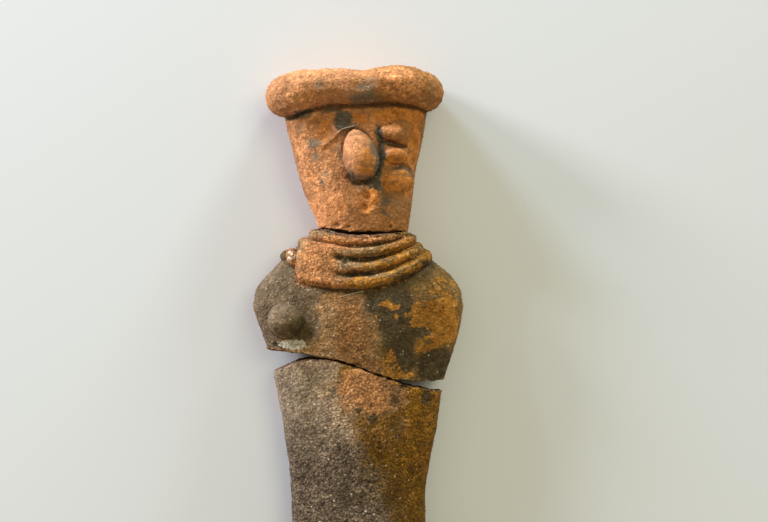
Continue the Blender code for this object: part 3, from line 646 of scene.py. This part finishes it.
def shape_clay(clay):
    """Evens the fragment's facets out, then works its hand-made and worn surface into it."""
    clay.relax(FIRST_STEPS, 1.0)
    bend = np.abs(clay.bend(DETAIL_STEPS))
    detail = smooth_step(*DETAIL_BEND, clay.spread(bend, DETAIL_STEPS)[:, 0])
    detail *= smooth_step(TURBAN_EDGE + TURBAN_EDGE_WIDTH, TURBAN_EDGE, clay.points[:, 1])
    clay.relax(PLAIN_STEPS, (1.0 - detail)[:, None])
    even = clay.spread(clay.points, SMOOTHED_IN_STEPS) - clay.points
    for oval in SMOOTHED_IN.get(clay.name, {}).values():
        share = in_oval(clay.points[:, :2], oval, SMOOTHED_IN_FULL)
        clay.points += (share * smooth_step(*SMOOTHED_IN_LEVELS, clay.points[:, 2]))[:, None] * even
    top = in_oval(clay.points[:, ::2], TURBAN_TOP, SMOOTHED_IN_FULL)
    top *= smooth_step(TURBAN_EDGE, TURBAN_EDGE + TURBAN_TOP_WIDTH, clay.points[:, 1])
    clay.points += top[:, None] * even

    normals = clay.normals()
    front = smooth_step(*FRONT, normals[:, 2])
    spots = wandering(clay.points, LINE_WANDER)
    lift = np.zeros(len(clay.points))
    for half_width, depth, line in LINES[clay.name].values():
        distance, _, from_end = measure_line(spots, line)
        ends = LINE_END_SHARE + (1.0 - LINE_END_SHARE) * smooth_step(0.0, LINE_END, from_end)
        lift -= depth * smooth_step(2.0 * half_width, 0.0, distance) * ends
    for height, reach, line in STEPS.get(clay.name, {}).values():
        distance, side, from_end = measure_line(spots, line)
        lift += height * smooth_step(reach, 0.0, distance) * (side > 0) * smooth_step(0.0, LINE_END, from_end)
    for oval in DENTS[clay.name].values():
        lift -= in_oval(spots, oval, DENT_FULL)
    clay.points[:, 2] += lift * front
    for oval in SWELLS.get(clay.name, {}).values():
        clay.points += in_oval(spots, oval, 0.0)[:, None] * normals

    on_break, from_break = broken_faces(clay, normals)
    if clay.name in BREAK_LEAN:
        lean = np.interp(clay.points[:, 0], *BREAK_LEAN[clay.name]) * smooth_step(*LEAN_LEVELS, clay.points[:, 2])
        clay.points[:, 1] -= lean * on_break * (clay.points[:, 1] < LEAN_BELOW)
    skin = smooth_step(*SKIN_LEVELS, clay.points[:, 2])
    uneven = layered_noise(clay.points, SKIN_NOISE)
    crumbs = layered_noise(clay.points, CRUMB_NOISE)
    chips = np.maximum(layered_noise(clay.points, CHIP_NOISE) - CHIP_LEAST, 0.0)
    chips *= smooth_step(*CHIP_REACH, from_break)
    push = uneven * (1.0 - on_break) - crumbs * on_break - chips * (1.0 - on_break)
    clay.points += (push * skin)[:, None] * normals
    clay.relax(LAST_STEPS, LAST_SHARE)
    return on_break


def paint_clay(clay, on_break):
    """Stores where the stains, slips, crusts, smoke, and the dirt and painted shade of the hollows lie."""
    normals = clay.normals()
    spots = wandering(clay.points, STAIN_WANDER)
    front = smooth_step(*STAIN_FRONT, normals[:, 2])
    seen = {name: stain(spots, STAINS[clay.name].get(name, ())) for name in STAIN_BEHIND}
    for seed, (name, behind) in enumerate(STAIN_BEHIND.items(), BEHIND_SEED):
        unseen = behind * smooth_step(*BEHIND_CLOUDS, noise_at(clay.points, BEHIND_WIDTH, seed))
        clay.add(name, seen[name] * front + unseen * (1.0 - front))
    across, half_width, slope = WARM_SIDE[clay.name]
    turn = across + slope * np.maximum(spots[:, 1], WARM_LOWEST) + layered_noise(clay.points, WARM_NOISE)
    warm = smooth_step(-half_width, half_width, spots[:, 0] - turn)
    clay.add("warm", warm)
    smoke = smooth_step(*SMOKE, spots[:, 1] + layered_noise(clay.points, SMOKE_NOISE))
    clay.add("smoke", smoke * (1.0 - SMOKE_SPARED * warm))
    # Broken faces, which take the core tone with its painted shade
    clay.add("core", on_break)
    # Dirt and painted shade in the creases and hollows
    clay.add("hollow", smooth_step(*HOLLOW_BEND, clay.bend(HOLLOW_STEPS)) * (1.0 - FRESH_SPARED * seen["fresh"]))
    clay.add("crest", smooth_step(*CREST_BEND, -clay.bend(CREST_STEPS)))


class Wiring:
    """Adds nodes to a tree and joins them by their sockets' names."""

    def __init__(self, tree):
        self.tree = tree

    def __call__(self, kind, output=0, settings=None, **inputs):
        """One of a new node's outputs, by its number or name."""
        node = self.tree.nodes.new(kind)
        for name, value in (settings or {}).items():
            setattr(node, name, value)
        for name, value in inputs.items():
            self.join(node, name, value)
        return node.outputs[output]

    def join(self, node, name, value):
        """Links a socket to an input, or sets the input's own value."""
        sockets = [item for item in node.inputs if name in (item.identifier, item.name.replace(" ", "_"))]
        socket = next(item for item in sockets if item.enabled)
        if isinstance(value, bpy.types.NodeSocket):
            self.tree.links.new(value, socket)
        else:
            socket.default_value = value

    def maths(self, operation, first, second=0.0, clamp=False):
        """One operation on two values."""
        return self("ShaderNodeMath", 0, {"operation": operation, "use_clamp": clamp}, Value=first, Value_001=second)

    def times(self, first, second):
        """The product of two values."""
        return self.maths("MULTIPLY", first, second)

    def plus(self, first, second):
        """The sum of two values."""
        return self.maths("ADD", first, second)

    def minus(self, first, second):
        """The first value less the second."""
        return self.maths("SUBTRACT", first, second)

    def ramp(self, value, low, high, to_low=0.0, to_high=1.0):
        """A smooth step of a value from low to high."""
        return self("ShaderNodeMapRange", 0, {"interpolation_type": "SMOOTHSTEP"}, Value=value, From_Min=low,
                    From_Max=high, To_Min=to_low, To_Max=to_high)

    def blend(self, share, first, second, kind="MIX"):
        """One colour laid over another."""
        first, second = (item if isinstance(item, bpy.types.NodeSocket) else (*item, 1.0) for item in (first, second))
        return self("ShaderNodeMix", 2, {"data_type": "RGBA", "blend_type": kind}, Factor_Float=share, A_Color=first,
                    B_Color=second)


def nodes_modifier(thing, tree, sizes):
    """Runs a tree of geometry nodes on a thing with these sizes, and returns the mesh that it makes."""
    modifier = thing.modifiers.new(tree.name, "NODES")
    modifier.node_group = tree
    for name, value in sizes.items():
        modifier[tree.interface.items_tree[name].identifier] = value
    mesh = applied(thing)
    thing.modifiers.clear()
    return mesh


def new_geometry_tree(name, size_names):
    """A tree of geometry nodes with a geometry input and output and one named input for each size."""
    tree = bpy.data.node_groups.new(name, "GeometryNodeTree")
    for side in ("INPUT", "OUTPUT"):
        tree.interface.new_socket("Geometry", in_out=side, socket_type="NodeSocketGeometry")
    for size in size_names:
        kind = "NodeSocketInt" if size == "Seed" else "NodeSocketFloat"
        tree.interface.new_socket(size, in_out="INPUT", socket_type=kind)
    given = tree.nodes.new("NodeGroupInput")
    return tree, Wiring(tree), {item.name: item for item in given.outputs}


def finish_tree(wire, geometry, material):
    """Ends a tree of geometry nodes: real meshes, and their material."""
    real = wire("GeometryNodeRealizeInstances", Geometry=geometry)
    dressed = wire("GeometryNodeSetMaterial", Geometry=real, Material=material)
    wire("NodeGroupOutput", slice(0, 0), Geometry=dressed)


def relief_tree(material):
    """Grit and small lumps that stand out of the clay's skin, less on smoothed slip."""
    tree, wire, size = new_geometry_tree("gritty_clay", RELIEF)
    place = wire("ShaderNodeVectorMath", 0, {"operation": "SCALE"},
                 Vector=wire("GeometryNodeInputPosition"), Scale=1.0 / MM)
    normal = wire("GeometryNodeInputNormal")
    smooth = wire("GeometryNodeInputNamedAttribute", 0, {"data_type": "FLOAT"}, Name="smooth")
    grit = wire("ShaderNodeTexVoronoi", 0, {"voronoi_dimensions": "4D"}, Vector=place, W=size["Seed"],
                Scale=wire.maths("DIVIDE", 1.0, size["Grit width"]))
    grit = wire.ramp(grit, *GRIT_EDGE)
    lumps = wire("ShaderNodeTexNoise", 0, {"noise_dimensions": "4D"}, Vector=place, W=size["Seed"], Detail=3.0,
                 Scale=wire.maths("DIVIDE", 1.0, size["Lump width"]))
    uneven = wire("ShaderNodeTexNoise", 0, {"noise_dimensions": "4D"}, Vector=place, W=size["Seed"], Detail=1.0,
                  Scale=wire.maths("DIVIDE", GRIT_PER_CLOUD, size["Grit width"]))
    grit = wire.times(grit, wire.ramp(uneven, *GRIT_CLOUDS))
    grit = wire.times(grit, wire.minus(1.0, smooth))
    height = wire.plus(wire.times(grit, size["Grit height"]),
                       wire.times(wire.minus(lumps, 0.5), size["Lump height"]))
    up = wire("ShaderNodeSeparateXYZ", "Z", Vector=place)
    height = wire.times(height, wire.ramp(up, *GRIT_LEVELS))
    offset = wire("ShaderNodeVectorMath", 0, {"operation": "SCALE"}, Vector=normal, Scale=wire.times(height, MM))
    moved = wire("GeometryNodeSetPosition", Geometry=size["Geometry"], Offset=offset)
    finish_tree(wire, moved, material)
    return tree


def grains_tree(material):
    """Angular temper grains half sunk in the skin, each with its own tone."""
    tree, wire, size = new_geometry_tree("temper_grains", GRAINS)
    smooth = wire("GeometryNodeInputNamedAttribute", 0, {"data_type": "FLOAT"}, Name="smooth")
    up = wire("ShaderNodeSeparateXYZ", "Z", Vector=wire("GeometryNodeInputPosition"))
    low, high = GRAIN_LEVELS
    share = wire.times(wire.minus(1.0, smooth), wire.ramp(up, low * MM, high * MM))
    density = wire.times(wire.maths("DIVIDE", size["Grains per square mm"], MM * MM), share)
    spots = wire("GeometryNodeDistributePointsOnFaces", Mesh=size["Geometry"], Density=density, Seed=size["Seed"])
    stone = wire("GeometryNodeMeshIcoSphere", Radius=wire.times(size["Grain radius"], MM), Subdivisions=1)
    turn = wire("FunctionNodeRandomValue", 0, {"data_type": "FLOAT_VECTOR"}, Min=(0, 0, 0), Max=(FULL_TURN,) * 3,
                Seed=size["Seed"])
    least, most = GRAIN_STRETCH
    stretch = wire("FunctionNodeRandomValue", 0, {"data_type": "FLOAT_VECTOR"}, Min=(least,) * 3, Max=(most,) * 3,
                   Seed=wire.plus(size["Seed"], 1.0))
    stones = wire("GeometryNodeInstanceOnPoints", Points=spots, Instance=stone, Rotation=turn, Scale=stretch)
    tone = wire("FunctionNodeRandomValue", 1, {"data_type": "FLOAT"}, Seed=wire.plus(size["Seed"], 2.0))
    toned = wire("GeometryNodeStoreNamedAttribute", 0, {"data_type": "FLOAT", "domain": "INSTANCE"}, Geometry=stones,
                 Name="tone", Value=tone)
    finish_tree(wire, toned, material)
    return tree


def new_material(name):
    """A material with nothing in its tree, the tree's wiring, and the places on the thing that wears it."""
    material = bpy.data.materials.new(name)
    material.use_nodes = True
    material.node_tree.nodes.clear()
    wire = Wiring(material.node_tree)
    return material, wire, wire("ShaderNodeTexCoord", "Object")


def clay_material(node):
    """Fired clay: two tones, stains and slips with broken edges, smoke, grit, and dirt with painted shade in the
    hollows.
    """
    material, wire, place = new_material(node.replace("fragment", "clay"))
    tones = CLAY[node]

    def pattern(name, output=0):
        """One of the noises in the clay."""
        width, detail, roughness, distortion = PATTERNS[name]
        return wire("ShaderNodeTexNoise", output, Vector=place, Scale=1.0 / (width * MM), Detail=detail,
                    Roughness=roughness, Distortion=distortion)

    def painted(name):
        """A value that paint_clay stored, or the tone of a temper grain."""
        return wire("ShaderNodeAttribute", "Fac", {"attribute_name": name})

    def spread_of(value, share):
        """The value's swing about a half, times a share."""
        return wire.times(wire.minus(value, 0.5), share)

    def fade(value, low, high):
        """A straight change from low to high."""
        return wire("ShaderNodeMapRange", Value=value, To_Min=low, To_Max=high)

    def patches(name):
        """Where a stain lies, its edge broken up by the patterns."""
        share, low, high = PATCHES[name]
        near = wire.maths("MULTIPLY", painted(name), BREAKUP_RISE, True)
        uneven = wire.times(wire.times(breakup, share), near)
        return wire.ramp(wire.plus(painted(name), uneven), low, high)

    cloud, mottle, fleck, fine = (pattern(name) for name in ("cloud", "mottle", "fleck", "fine"))
    bent = wire("ShaderNodeVectorMath", 0, {"operation": "SCALE"}, Vector=pattern("crumb_bend", "Color"),
                Scale=CRUMB_SHIFT * MM)
    bent = wire("ShaderNodeVectorMath", 0, {"operation": "ADD"}, Vector=place, Vector_001=bent)
    crumb = wire("ShaderNodeTexVoronoi", Vector=bent, Scale=1.0 / (CRUMB_WIDTH * MM))
    chance = wire("ShaderNodeSeparateColor", Color=crumb.node.outputs["Color"])
    middle = wire.ramp(crumb, *CRUMB_MIDDLE)
    rough = fade(painted("smooth"), tones["grain"], SMOOTH_GRAIN * tones["grain"])
    rough = wire.times(rough, fade(painted("grey"), 1.0, GREY_GRAIN))
    rough = wire.times(rough, fade(painted("smoke"), 1.0, SMOKE_GRAIN))
    breakup = wire.plus(spread_of(fleck, FLECK_BREAKUP), spread_of(chance, CHANCE_BREAKUP))
    breakup = wire.plus(spread_of(mottle, MOTTLE_BREAKUP), breakup)

    # The right tone is darker partly as painted shade
    colour = wire.blend(patches("warm"), tones["left"], tones["right"])
    for name in ("grey", "red", "orange", "dark"):
        colour = wire.blend(patches(name), colour, tones[name])
    pits = wire.ramp(fleck, *OCHRE_PITS)
    colour = wire.blend(wire.times(patches("ochre"), pits), colour, tones["ochre"])
    colour = wire.blend(patches("pale"), colour, PALE_CRUST)
    colour = wire.blend(patches("fresh"), colour, FRESH_CLAY)
    # The broken faces' core tone, partly painted shade
    colour = wire.blend(wire.times(painted("core"), CORE_AND_SHADE_SHARE), colour, CORE_CLAY_AND_SHADE)
    # Dirt and painted shade darken the hollows
    colour = wire.blend(wire.times(painted("hollow"), DIRT_AND_SHADE_SHARE), colour, DIRT_AND_SHADE)

    grainy = wire.ramp(fine, *FINE_SHADE)
    for shading in (fade(chance, *CHANCE_SHADE), wire.ramp(fleck, *FLECK_SHADE), fade(middle, *MIDDLE_SHADE)):
        grainy = wire.times(grainy, shading)
    grainy = wire.plus(1.0, wire.times(wire.minus(grainy, 1.0), rough))
    for shading in (wire.ramp(cloud, *CLOUD_SHADE), wire.ramp(mottle, *MOTTLE_SHADE),
                    fade(painted("crest"), *CREST_SHADE), fade(painted("smoke"), *SMOKE_SHADE)):
        grainy = wire.times(grainy, shading)
    shade = wire("ShaderNodeCombineColor", Red=grainy, Green=grainy, Blue=grainy)
    colour = wire.blend(1.0, colour, shade, "MULTIPLY")
    # Pale quartz flecks, painted bright as glints
    glint = wire.times(wire.ramp(chance, *GLINT_CHANCE), wire.ramp(crumb, *GLINT_MIDDLE))
    glint = wire.times(glint, wire.times(rough, GLINT_SHARE))
    glint = wire.maths("MAXIMUM", glint, wire.ramp(painted("tone"), *PALE_GRAIN))
    colour = wire.blend(glint, colour, QUARTZ_AND_GLINT)

    relief = wire.plus(wire.times(middle, MIDDLE_BUMP), wire.times(fleck, FLECK_BUMP))
    relief = wire.plus(relief, wire.times(fine, FINE_BUMP))
    bump = wire("ShaderNodeBump", Height=wire.times(relief, rough), Distance=BUMP_HEIGHT * MM,
                Strength=BUMP_STRENGTH)
    gloss = wire.times(painted("smooth"), SLIP_GLOSS)
    skin = wire("ShaderNodeBsdfPrincipled", Base_Color=colour, Normal=bump, Specular_IOR_Level=CLAY_SPECULAR,
                Roughness=wire.minus(wire.ramp(mottle, *CLAY_ROUGHNESS), gloss))
    wire("ShaderNodeOutputMaterial", slice(0, 0), Surface=skin)
    return material


def rootlet_material():
    """Dry pale root fibre, a little darker in places."""
    material, wire, place = new_material("dry_rootlet")
    streak = wire("ShaderNodeTexNoise", Vector=place, Scale=1.0 / (ROOTLET_STREAK * MM), Detail=3.0)
    colour = wire.blend(wire.ramp(streak, *ROOTLET_SHADE), ROOTLET, PALE_CRUST)
    bump = wire("ShaderNodeBump", Height=streak, Distance=ROOTLET_BUMP * MM, Strength=0.6)
    skin = wire("ShaderNodeBsdfPrincipled", Base_Color=colour, Roughness=0.8, Normal=bump)
    wire("ShaderNodeOutputMaterial", slice(0, 0), Surface=skin)
    return material


def rootlet_tree(material):
    """A round fibre along a curve, thinner towards its ends."""
    tree, wire, size = new_geometry_tree("rootlet", ("Radius",))
    place = wire("GeometryNodeSplineParameter")
    taper = wire.times(wire.times(place, 4.0), wire.minus(1.0, place))
    taper = wire.maths("POWER", taper, 0.5)
    taper = wire.maths("MAXIMUM", taper, ROOTLET_TIP)
    curve = wire("GeometryNodeSetCurveRadius", Curve=size["Geometry"], Radius=taper)
    ring = wire("GeometryNodeCurvePrimitiveCircle", Resolution=ROOTLET_SIDES, Radius=wire.times(size["Radius"], MM))
    tube = wire("GeometryNodeCurveToMesh", Curve=curve, Profile_Curve=ring, Fill_Caps=True)
    finish_tree(wire, tube, material)
    return tree


def make_rootlet(clay):
    """The pale rootlet that lies on a fragment's front."""
    radius, line = ROOTLETS[clay.name]
    line = rounded(line)
    curve = bpy.data.curves.new(clay.name.replace("fragment", "rootlet"), "CURVE")
    curve.dimensions = "3D"
    spline = curve.splines.new("POLY")
    spline.points.add(len(line) - 1)
    for control, spot in zip(spline.points, line):
        near = np.argsort(np.linalg.norm(clay.points[:, :2] - spot, axis=1))[:ROOTLET_NEAR]
        control.co = (*(spot * MM), (clay.points[near, 2].max() + ROOTLET_RISE * radius) * MM, 1.0)
    guide = placed(curve.name + "_guide", curve)
    mesh = nodes_modifier(guide, rootlet_tree(rootlet_material()), {"Radius": radius})
    bpy.data.objects.remove(guide, do_unlink=True)
    rootlet = placed(curve.name, mesh)
    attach(rootlet, "root")


def make_fragment(node):
    """One fragment's clay and its temper grains, in place of its solid."""
    clay = Clay(node)
    on_break = shape_clay(clay)
    paint_clay(clay, on_break)
    material = clay_material(node)
    clay.keep(nodes_modifier(clay.thing, relief_tree(material), RELIEF))
    clay.load()
    clay.store()
    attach(clay.thing, "root")
    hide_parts(node)

    grains = placed(node.replace("fragment", "grains"), clay.thing.data)
    grains.data = nodes_modifier(grains, grains_tree(material), GRAINS)
    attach(grains, "root")
    if node in ROOTLETS:
        make_rootlet(clay)


def table_top():
    """The plain pale table."""
    mesh = bpy.data.meshes.new("table_top")
    half = TABLE_SIZE / 2 * MM
    level = TABLE_LEVEL * MM
    mesh.from_pydata([(-half, -half, level), (half, -half, level), (half, half, level), (-half, half, level)], [],
                     [(0, 1, 2, 3)])
    table = placed("table_top", mesh)
    material = bpy.data.materials.new("pale_table")
    material.use_nodes = True
    skin = material.node_tree.nodes["Principled BSDF"]
    skin.inputs["Base Color"].default_value = (*TABLE_COLOUR, 1.0)
    skin.inputs["Roughness"].default_value = TABLE_ROUGHNESS
    skin.inputs["Specular IOR Level"].default_value = 0.0
    mesh.materials.append(material)


def hang_light(name, kind, direction, strength, colour, place):
    """A light that shines from this direction, hung at this place."""
    lamp = bpy.data.lights.new(name, kind)
    lamp.energy = strength
    lamp.color = colour
    holder = placed(name, lamp)
    holder.location = place
    holder.rotation_euler = direction.to_track_quat("Z", "Y").to_euler()
    return lamp


def lights():
    """The windows, the ceiling and the room's own light."""
    faced = Vector((*WINDOWS_FACE, 0.0)) * MM
    distance = WINDOW_DISTANCE * MM
    for name, (direction, width, strength, colour) in WINDOWS.items():
        direction = Vector(direction).normalized()
        power = strength * math.pi * distance**2
        window = hang_light(name, "AREA", direction, power, colour, faced + direction * distance)
        window.shape = "DISK"
        window.size = 2.0 * distance * math.tan(math.radians(width / 2))
    ceiling = hang_light("ceiling", "SUN", Vector(CEILING_DIRECTION), CEILING_STRENGTH, CEILING_COLOUR, faced)
    ceiling.angle = math.radians(CEILING_WIDTH)
    room = bpy.data.worlds.new("room")
    room.use_nodes = True
    background = room.node_tree.nodes["Background"]
    background.inputs["Color"].default_value = (*ROOM_COLOUR, 1.0)
    background.inputs["Strength"].default_value = ROOM_STRENGTH
    bpy.context.scene.world = room
    bpy.context.scene.view_settings.view_transform = "Standard"


def camera():
    """The camera over the figure."""
    lens = bpy.data.cameras.new("camera")
    lens.sensor_width = SENSOR
    lens.lens = SENSOR * (CAMERA_HEIGHT - VIEW_LEVEL) / VIEW_WIDTH
    lens.clip_start = NEAREST_SEEN * MM
    holder = placed("camera", lens)
    holder.location = (CAMERA_ACROSS * MM, CAMERA_ALONG * MM, CAMERA_HEIGHT * MM)
    bpy.context.scene.camera = holder


camera()
lights()
table_top()
make_fragment("head_fragment")
make_fragment("chest_fragment")
make_fragment("lower_body_fragment")
